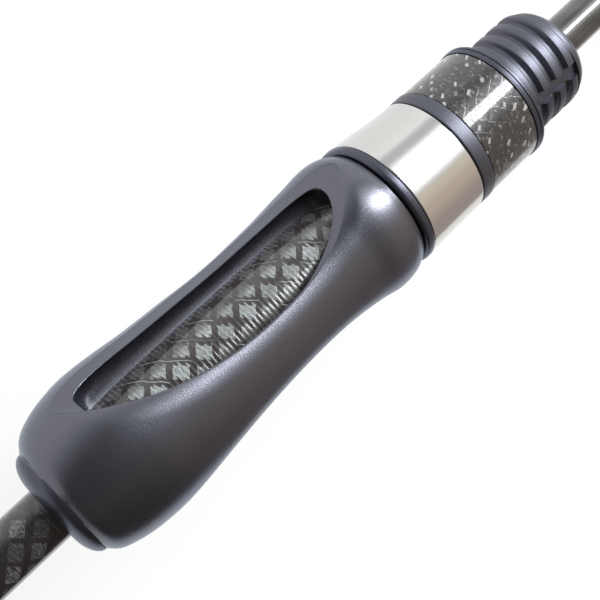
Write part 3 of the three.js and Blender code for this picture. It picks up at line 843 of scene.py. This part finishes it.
def hood_ring(name, outline, material):
    """A ring whose outline is turned, then swollen on the foot side over the foot's pocket."""
    phi = np.linspace(0, 2 * pi, FINE, endpoint=False)
    folded = np.where(phi > pi, 2 * pi - phi, phi)
    rows = []
    for x, r, swell in outline:
        extra = swell * foot_side(folded, hood_growth(x), hood_bulge(x))
        rows.append(around(SEAT_X + x, r + extra, phi))
    return skin(name, rows, material, closed=True, sharp=40)


def with_swell(points, radius):
    """Rounds an outline and marks its bore, which doesn't swell."""
    out = fillet(points, radius, 6)
    return [(x, r, 1.0 if r > HOOD_BORE + 0.3 else 0.0) for x, r in out]


def hood_insert():
    """The rounded lip and the bush under the steel sleeve, with the pocket for the reel foot's end."""
    under = STEEL_R - 0.55
    rear = BODY_FRONT + 0.35
    outline = [
        (rear, HOOD_BORE, 0.1),
        (rear, LIP_R - 0.05, 0.9),
        (LIP_FRONT, LIP_R, 0.45),
        (LIP_FRONT, under, 0),
        (HOOD_FRONT - 0.4, under, 0),
        (HOOD_FRONT - 0.4, HOOD_BORE, 0),
    ]
    rows = []
    shoulder = 3
    for i, corner in enumerate(outline):
        rows.append(corner)
        if i == shoulder:
            rows += [(x, under, 0) for x in np.linspace(LIP_FRONT + 1, HOOD_FRONT - 1.4, 12)]
    ring = hood_ring("hood_insert_piece", with_swell(rows, 0), SATIN)
    pocket = foot_pocket(-HOOD_POCKET_END, -BODY_FRONT + 2, -FOOT_LEVEL + 0.6)
    for vertex in pocket.data.vertices:
        vertex.co.x = 2 * SEAT_X * MM - vertex.co.x
    face_outwards(pocket.data)
    cut(ring, pocket)
    return ring


def hood_sleeve():
    inner = STEEL_R - STEEL_WALL
    outer = [(x, STEEL_R, 0) for x in np.linspace(LIP_FRONT + 1.2, HOOD_FRONT - 1, 14)]
    rear, front = LIP_FRONT + 0.12, HOOD_FRONT
    outline = [(rear, inner, 0.05), (rear, STEEL_R, 0.25), *outer]
    outline += [(front, STEEL_R, 0.35), (front, inner, 0.05)]
    outline += [(x, inner, 0) for x in np.linspace(HOOD_FRONT - 1, LIP_FRONT + 1.2, 14)]
    return hood_ring("hood_sleeve_piece", with_swell(outline, 0), STEEL)


def nut_front_ring():
    """A fine groove gives the ring its double line."""
    x0, x1, r = CARBON_FRONT + 0.12, NUT_FRONT, NUT_RING_R
    bore = NUT_CORE_R + 0.05
    outline = [(x0, bore, 0), (x0, r - 0.1, 0.1), (x0 + 0.95, r, 0.08)]
    outline += [(x0 + 1.02, r - 0.22, 0), (x0 + 1.12, r - 0.22, 0), (x0 + 1.19, r - 0.02, 0.05)]
    outline += [(x1, r - 0.12, 0.4), (x1, bore, 0)]
    return turned("nut_front_ring_piece", outline, SATIN)


def seat_pipe():
    return tube("seat_pipe_piece", PIPE_REAR, PIPE_FRONT, PIPE_R, PIPE_R - PIPE_WALL, WINDOW_CARBON)


def nut_core():
    return tube("nut_core_piece", HOOD_FRONT + 0.35, NUT_FRONT - 0.4, NUT_CORE_R, NUT_BORE, SATIN)


def nut_band():
    front = BAND_FRONT - 0.06
    return tube("nut_band_piece", HOOD_FRONT + 0.28, front, BAND_R, NUT_SHELL_BORE, MATTE, 0.3)


def nut_carbon_sleeve():
    rear = BAND_FRONT + 0.06
    return tube("nut_carbon_piece", rear, CARBON_FRONT, CARBON_R, NUT_SHELL_BORE, NUT_CARBON, 0.12)


for build, body, node, slot in (
    (end_cap, BUTT, "seat_end_cap", "dark_ring"),
    (seat_pipe, BUTT, "seat_pipe", "window_carbon"),
    (threaded_barrel, BUTT, "threaded_barrel", "soft_touch"),
    (hood_insert, HOOD, "hood_insert", "dark_ring"),
    (hood_sleeve, HOOD, "hood_sleeve", "polished_steel"),
    (nut_core, NUT, "nut_core", "dark_ring"),
    (nut_band, NUT, "nut_band", "dark_ring"),
    (nut_carbon_sleeve, NUT, "nut_carbon_sleeve", "nut_carbon"),
    (nut_front_ring, NUT, "nut_front_ring", "dark_ring"),
):
    place(build(), body, node)


# -------- blanks, grip and butt
ROD_LENGTH = 1680.0
BLANK_R_AT_SEAT, BLANK_R_STATION, BLANK_TAPER = 4.13, SEAT_X + 75, 0.00249
FERRULE_START, FERRULE_END = 850.0, 905.0
TIP_SOCKET_R, TIP_SOCKET_END_R, TIP_R = 3.55, 3.35, 0.75
BLANK_WALL, HANDLE_WALL = 0.55, 0.4
CAP_FRONT, CAP_CORNER = 13.7, 3.2
CAP_END_R, CAP_RISE = 9.6, 2.75
GRIP_REAR, GRIP_FRONT, GRIP_BORE = 14.05, 96, 5.05
CHECK_REAR, CHECK_FRONT = 96.3, 101.2


def blank_radius(x):
    return BLANK_R_AT_SEAT - (x - BLANK_R_STATION) * BLANK_TAPER


def tip_radius(x):
    if x < FERRULE_END:
        return lerp(TIP_SOCKET_R, TIP_SOCKET_END_R, (x - FERRULE_START) / (FERRULE_END - FERRULE_START))
    return lerp(TIP_SOCKET_END_R, TIP_R, (x - FERRULE_END) / (ROD_LENGTH - FERRULE_END))


def butt_blank():
    xs = [SEAT_X - 45, 400, 600, 800, FERRULE_END]
    outline = [(x, blank_radius(x)) for x in xs] + [(x, blank_radius(x) - BLANK_WALL) for x in xs[::-1]]
    return turned("butt_blank_piece", outline, BLANK, 0, MEDIUM, station=0)


def tip_blank():
    """The tip section, with the socket that slides over the butt blank's end."""
    fit = 0.08
    xs = [FERRULE_START, FERRULE_END + 3, 1100, 1300, ROD_LENGTH - 3]
    outline = [(x, tip_radius(x)) for x in xs]
    outline += [(ROD_LENGTH - 3, 0.35), (FERRULE_END + 8, 1.6)]
    outline += [(FERRULE_END + 2, blank_radius(FERRULE_END) + fit)]
    outline += [(FERRULE_START, blank_radius(FERRULE_START) + fit)]
    return turned("tip_blank_piece", outline, BLANK, 0, 64, station=0)


def rear_grip():
    waist = [(14, 12.5), (28, 11.6), (46, 10.9), (62, 11.3)]
    shape = curve(waist + [(74, 11.5), (84, 10.4), (92, 8.2), (GRIP_FRONT, 7.1)])
    xs = np.linspace(GRIP_REAR, GRIP_FRONT, 60)
    outline = [(GRIP_REAR, GRIP_BORE)] + [(x, float(shape(x))) for x in xs] + [(GRIP_FRONT, GRIP_BORE)]
    return turned("rear_grip_piece", outline, FOAM, 0, MEDIUM, station=0)


def butt_cap():
    """A rubber cap with a rounded end and one groove round it."""
    outline = [(0, 0.02), (0, CAP_END_R)]
    for k in range(1, 13):
        a = pi / 2 * k / 12
        outline.append((CAP_CORNER * (1 - cos(a)), CAP_END_R + CAP_RISE * sin(a)))
    outline += [(9.5, 12.45), (10.0, 12.1), (10.6, 12.1), (11.1, 12.48)]
    outline += [(CAP_FRONT, 12.5), (CAP_FRONT, 0.02)]
    return turned("butt_cap_piece", outline, RUBBER, 0, MEDIUM, station=0)


def grip_check():
    outline = [(CHECK_REAR, GRIP_BORE, 0), (CHECK_REAR, 7.1, 0.3), (97.6, 7.25, 0.4), (98.4, 6.5, 0.3)]
    outline += [(CHECK_FRONT, 5.6, 0.3), (CHECK_FRONT, GRIP_BORE, 0)]
    return turned("grip_check_piece", outline, STEEL, 0, MEDIUM, station=0)


def handle_tube():
    outer, bore = HANDLE_R, HANDLE_R - HANDLE_WALL
    return tube("handle_tube_piece", 14, SEAT_X - 30, outer, bore, HANDLE_CARBON, 0, station=0)


for build, body, node, slot in (
    (handle_tube, BUTT, "handle_tube", "handle_carbon"),
    (butt_blank, BUTT, "butt_blank", "blank_carbon"),
    (tip_blank, TIP, "tip_blank", "blank_carbon"),
    (rear_grip, BUTT, "rear_grip", "foam"),
    (butt_cap, BUTT, "butt_cap", "rubber"),
    (grip_check, BUTT, "grip_check", "polished_steel"),
):
    place(build(), body, node)


# -------- wraps and guides
GUIDE_RINGS = (12.5, 8.0, 5.2, 4.2, 3.6, 3.2)  # outer radii, from the seat to the tip
DOUBLE_FOOTED = 2  # so many of the first guides have a third leg and a second foot
FOOT_HEIGHT = 1.1
WRAP_EDGE, WRAP_RISE = 0.06, 0.42
STRAP_WIDTH, STRAP_HEIGHT = 2.2, 0.8
LEG_SPREAD = 38  # degrees from the top of the ring to where a leg meets it


def wrap(name, x0, x1, radius_at, over_foot, body):
    """Thread wound over the blank, and over a guide's foot if there is one, under a coat of epoxy."""
    phi = np.linspace(0, 2 * pi, COARSE, endpoint=False)
    off = np.minimum(phi, 2 * pi - phi)
    hump = np.exp(-(((pi - off) / 0.55) ** 2)) * (FOOT_HEIGHT if over_foot else 0)
    rows = []
    for u in np.linspace(0, 1, 22):
        x = lerp(x0, x1, u)
        rise = float(smooth(min(u, 1 - u) / 0.18))
        rows.append(around(x, radius_at(x) + WRAP_EDGE + rise * (WRAP_RISE + hump), phi))
    bore = radius_at(x1) - 0.05
    rows.append(around(x1, bore, phi))
    rows.append(around(x0, bore, phi))
    piece = skin(name + "_piece", rows, WINDING, closed=True)
    place(piece, body, name)


def wire(name, points, width, height, sides=10):
    """A flattened metal wire along points; its width runs across the rod."""
    points = [Vector(p) for p in points]
    verts, faces = [], []
    for i, p in enumerate(points):
        ahead = points[min(i + 1, len(points) - 1)] - points[max(i - 1, 0)]
        ahead.normalize()
        side = Vector((0, 1, 0))
        side = (side - ahead * side.dot(ahead)).normalized()
        up = ahead.cross(side)
        for k in range(sides):
            a = 2 * pi * k / sides
            verts.append(p + side * (width / 2 * cos(a)) + up * (height / 2 * sin(a)))
    for i in range(len(points) - 1):
        for k in range(sides):
            n = (k + 1) % sides
            faces.append((i * sides + k, i * sides + n, (i + 1) * sides + n, (i + 1) * sides + k))
    faces.append(tuple(range(sides))[::-1])
    faces.append(tuple(range((len(points) - 1) * sides, len(points) * sides)))
    return new_object(name, verts, faces, METAL)


def bezier(a, b, c, d, steps=14):
    a, b, c, d = map(Vector, (a, b, c, d))
    out = []
    for i in range(steps + 1):
        u = i / steps
        out.append(a * (1 - u) ** 3 + b * 3 * u * (1 - u) ** 2 + c * 3 * u * u * (1 - u) + d * u**3)
    return out


def hoop(name, x, z, outline, material, segments=64):
    """A ring in the plane across the rod, round the line."""
    ring = turned(name, outline, material, 0.18, segments, station=0)
    for vertex in ring.data.vertices:
        vertex.co.x += x * MM
        vertex.co.z += z * MM
    return ring


def ring_sizes(outer):
    """Radii of the frame's seat, of the ceramic ring in it and of the ring's hole."""
    band = max(0.45, outer * 0.07)
    inset = max(0.6, outer * 0.12)
    return outer - band, outer - band - 0.02, outer - band - inset


def band_outline(inner, outer, half):
    return [(-half, inner), (-half, outer), (half, outer), (half, inner)]


def guide(number, outer, body, radius_at):
    """A ring held by two legs behind it, and by a third ahead of it on a double-footed guide."""
    name = "guide_%d" % number
    low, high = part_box(name + "_ring")
    x = (low[0] + high[0]) / 2 / MM
    drop = -(low[2] + high[2]) / 2 / MM
    seat, insert, hole = ring_sizes(outer)
    half = max(0.7, outer * 0.11)
    gauge = max(0.75, outer * 0.1)
    parts = [hoop(name + "_band", x, -drop, band_outline(seat, outer, half), METAL)]
    rise = drop - outer
    lean = max(5.0, rise * 0.9)
    foot = max(9.0, outer * 1.5)
    sides = (-1, 1) if number <= DOUBLE_FOOTED else (-1,)
    for side in sides:
        heel, toe = x + side * lean, x + side * (lean + foot)
        top = -radius_at(heel) - 0.5
        strap = [(toe, 0, top + 0.25)] + [(lerp(toe, heel, u), 0, top) for u in np.linspace(0.12, 1, 7)]
        parts.append(wire("foot", strap, STRAP_WIDTH, STRAP_HEIGHT))
        spreads = (0.0,) if side > 0 else (-1.0, 1.0)
        for spread in spreads:
            a = radians(LEG_SPREAD) * spread
            touch = (x + side * half * 0.5, sin(a) * (outer - 0.2), -drop + cos(a) * (outer - 0.2))
            leg = bezier(
                (heel + side * 0.4, spread * 0.5, top),
                (heel - side * lean * 0.35, spread * 0.7, top - 0.1),
                (lerp(heel, touch[0], 0.75), touch[1] * 0.9, lerp(top, touch[2], 0.55)),
                touch,
            )
            width = gauge * (1.5 if side > 0 else 1.0)
            parts.append(wire("leg", leg, width, gauge * 0.8))
    place(joined(name + "_frame_piece", parts), body, name + "_frame")
    insert_half = max(0.8, outer * 0.13)
    ring = hoop(name + "_ring_piece", x, -drop, band_outline(hole, insert, insert_half), CERAMIC)
    place(ring, body, name + "_ring")
    labels = ("_wrap", "_front_wrap")[: len(sides)]
    for label in labels:
        low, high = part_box(name + label)
        wrap(name + label, low[0] / MM, high[0] / MM, radius_at, True, body)


for number, outer in enumerate(GUIDE_RINGS, 1):
    on_butt = number == 1
    guide(number, outer, BUTT if on_butt else TIP, blank_radius if on_butt else tip_radius)

for name, body, radius_at in (
    ("ferrule_wrap_butt", BUTT, blank_radius),
    ("ferrule_wrap_tip", TIP, tip_radius),
    ("tip_top_wrap", TIP, tip_radius),
):
    low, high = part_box(name)
    wrap(name, low[0] / MM, high[0] / MM, radius_at, False, body)


def tip_top():
    """A sheath over the blank's end, with a small ring on two legs and a bridge."""
    end = ROD_LENGTH
    drop, outer = 4.6, 2.9
    outline = [(end - 14, 0.95), (end - 14, 1.45), (end - 2, 1.6), (end - 1.2, 1.2), (end - 1.2, 0.95)]
    sheath = turned("sheath", outline, METAL, 0.2, COARSE, station=0)
    parts = [sheath, hoop("tip_band", end, -drop, band_outline(outer - 0.45, outer, 0.7), METAL, COARSE)]
    for spread in (-1, 1):
        touch = (end - 0.2, spread * outer * 0.75, -drop + outer * 0.6)
        heel, bend = (end - 9, spread * 0.9, -1.1), (end - 5, spread * 1.1, -1.6)
        leg = bezier(heel, bend, (end - 2, touch[1], -2.0), touch)
        parts.append(wire("leg", leg, 0.55, 0.5))
    bridge = [(end - 3, 0, -1.2), (end - 0.6, 0, -1.9), (end, 0, -2.0)]
    parts.append(wire("bridge", bridge, 0.8, 0.5))
    place(joined("tip_top_frame_piece", parts), TIP, "tip_top_frame")
    ring_outline = band_outline(outer - 1.1, outer - 0.47, 0.85)
    ring = hoop("tip_top_ring_piece", end, -drop, ring_outline, CERAMIC, COARSE)
    place(ring, TIP, "tip_top_ring")


tip_top()

# The arbors are hidden between the tubes and keep their CAD shapes.
for name in ("rear_arbor", "front_arbor"):
    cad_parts[name].data.materials.clear()
    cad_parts[name].data.materials.append(FOAM)

# -------- floor, light and camera
FLOOR_SIZE = 12000
FLOOR_GLOW = 0.85


def floor():
    """A plain pale floor that glows faintly, as a lit sweep does."""
    dark, light = (0.15, 0.15, 0.15), (0.17, 0.17, 0.17)
    look = Look("floor", Roughness=0.9, Emission_Color=(1, 1, 1), Emission_Strength=FLOOR_GLOW)
    look.color(look.mix(look.noise(0.02, 2.0), dark, light))
    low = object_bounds()[0][2] / MM
    corners = ((-1, -1), (1, -1), (1, 1), (-1, 1))
    verts = [(FLOOR_SIZE * x, FLOOR_SIZE * y, low) for x, y in corners]
    plane = new_object("floor", verts, [(0, 1, 2, 3)], look.material)
    plane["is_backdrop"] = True


def aimed_area(name, position, target, size, power, color):
    """A rectangular light at a position in metres, with its length along the rod."""
    light = bpy.data.lights.new(name, "AREA")
    light.shape = "RECTANGLE"
    light.size, light.size_y = size
    light.energy = power
    light.color = color
    obj = link(bpy.data.objects.new(name, light))
    ahead = (Vector(target) - Vector(position)).normalized()
    along = (Vector((1, 0, 0)) - ahead * ahead.x).normalized()
    up = (-ahead).cross(along)
    rotation = Matrix((along, up, -ahead)).transposed()
    obj.matrix_world = Matrix.Translation(position) @ rotation.to_4x4()


def toward(angle, distance):
    """A point off the rod's axis, at an angle from the palm side towards +Y."""
    return Vector((0, sin(radians(angle)), cos(radians(angle)))) * distance


VIEW_ANGLE = 38  # from the palm side round to the side that faces the camera

# Light from each side of the rod, by the angle round it from the camera: angle and colour.
SURROUND = [
    (-180, (1.05, 1.05, 1.05)),
    (-158, (0.95, 0.95, 0.95)),
    (-148, (0.34, 0.31, 0.30)),
    (-100, (0.44, 0.37, 0.34)),
    (-60, (0.66, 0.56, 0.47)),
    (-40, (0.80, 0.73, 0.62)),
    (-22, (0.55, 0.56, 0.58)),
    (20, (0.55, 0.57, 0.58)),
    (52, (0.66, 0.69, 0.70)),
    (78, (0.50, 0.52, 0.51)),
    (90, (1.0, 1.02, 1.05)),
    (180, (1.05, 1.05, 1.05)),
]


# The softbox, in metres and watts. Its angle is from the palm side.
STRIP_X, STRIP_ANGLE, STRIP_DISTANCE = 1.53, 40, 0.75
STRIP_SIZE, STRIP_POWER, STRIP_COLOR = (1.9, 0.24), 26, (0.94, 0.97, 1.0)

# A glow ahead of the seat, in degrees: round from the camera, and ahead of square to the rod.
GLOW_MIDDLE, GLOW_FULL, GLOW_END = 2, 18, 36
GLOW_STARTS, GLOW_PEAKS = 12, 23
GLOW_COLOR, GLOW_STRENGTH = (0.96, 0.98, 1.0), 1.6

# The room is darker behind the seat, below the line of sight.
SHADE_FULL, SHADE_END = 15, 50
SHADE_PEAKS, SHADE_STARTS = 3, 17
SHADE_STRENGTH = 0.8


def room_color(look, turn):
    """The room's colour, by the angle round the rod."""
    room = look.node("ShaderNodeValToRGB", {0: look.scaled(turn, 0.5 / pi, 0.5)})
    steps = room.color_ramp
    steps.interpolation = "EASE"
    last = len(SURROUND) - 1
    for k, (angle, color) in enumerate(SURROUND):
        position = (angle + 180) / 360
        if k in (0, last):
            step = steps.elements[0 if k == 0 else -1]
        else:
            step = steps.elements.new(position)
        step.position = position
        step.color = (*color, 1)
    return room.outputs["Color"]


def lights():
    """A long narrow softbox ahead of the reel seat, in a room with a broad glow behind the softbox.
    What the camera sees of the room is plain white."""
    strip = Vector((STRIP_X, 0, 0))
    place_m = strip + toward(STRIP_ANGLE, STRIP_DISTANCE)
    aimed_area("strip", place_m, strip, STRIP_SIZE, STRIP_POWER, STRIP_COLOR)
    world = bpy.data.worlds.new("studio")
    bpy.context.scene.world = world
    world.use_nodes = True
    look = Nodes(world.node_tree)
    direction = look.node("ShaderNodeTexCoord").outputs["Generated"]
    to_camera, to_side = tuple(toward(VIEW_ANGLE, 1)), tuple(toward(VIEW_ANGLE + 90, 1))
    facing = look.node("ShaderNodeVectorMath", {0: direction, 1: to_camera}, operation="DOT_PRODUCT")
    aside = look.node("ShaderNodeVectorMath", {0: direction, 1: to_side}, operation="DOT_PRODUCT")
    turn = look.math("ARCTAN2", aside.outputs["Value"], facing.outputs["Value"])
    ahead = look.node("ShaderNodeSeparateXYZ", {0: direction}).outputs["X"]
    room = room_color(look, turn)
    across = look.math("ABSOLUTE", look.math("SUBTRACT", turn, radians(GLOW_MIDDLE)))
    side = look.ramp(across, radians(GLOW_END), radians(GLOW_FULL))
    forward = look.ramp(ahead, sin(radians(GLOW_STARTS)), sin(radians(GLOW_PEAKS)))
    glow = look.times(side, forward)
    lower = look.ramp(turn, radians(SHADE_END), radians(SHADE_FULL))
    behind = look.ramp(ahead, sin(radians(SHADE_STARTS)), sin(radians(SHADE_PEAKS)))
    shade = look.scaled(look.times(lower, behind), -SHADE_STRENGTH, 1.0)
    base = look.node("ShaderNodeBackground", {"Color": room, "Strength": shade})
    strength = look.times(glow, GLOW_STRENGTH)
    bright = look.node("ShaderNodeBackground", {"Color": GLOW_COLOR, "Strength": strength})
    lit = look.node("ShaderNodeAddShader", {0: base.outputs[0], 1: bright.outputs[0]})
    seen = look.node("ShaderNodeBackground", {"Color": (1, 1, 1)})
    path = look.node("ShaderNodeLightPath")
    mix = look.node(
        "ShaderNodeMixShader",
        {0: path.outputs["Is Camera Ray"], 1: lit.outputs[0], 2: seen.outputs[0]},
    )
    look.links.new(mix.outputs[0], look.nodes["World Output"].inputs["Surface"])


def camera():
    """A close view of the reel seat from its palm and +Y sides, with the rod rising to the right."""
    tilt = radians(15.75)  # the rod runs away from the camera towards its tip
    turn = radians(VIEW_ANGLE)
    roll = radians(43.219)
    distance, shift_down = 193.9, 0.0128
    x_axis = Vector((1, 0, 0))
    facing = Vector((0, sin(turn), cos(turn)))
    below = Vector((0, -cos(turn), sin(turn)))
    right = x_axis * cos(tilt) + facing * sin(tilt)
    forward = x_axis * sin(tilt) - facing * cos(tilt)
    place_mm = Vector((SEAT_X, 0, 0)) + below * (distance * shift_down) - forward * distance
    image_right = right * cos(roll) + below * sin(roll)
    image_down = below * cos(roll) - right * sin(roll)
    data = bpy.data.cameras.new("camera")
    data.sensor_width = 36
    data.lens = 66.3
    data.clip_start = 0.005
    obj = link(bpy.data.objects.new("camera", data))
    rotation = Matrix((image_right, -image_down, -forward)).transposed()
    obj.matrix_world = Matrix.Translation(place_mm * MM) @ rotation.to_4x4()
    bpy.context.scene.camera = obj


floor()
lights()
camera()
bpy.context.scene.view_settings.view_transform = "Standard"
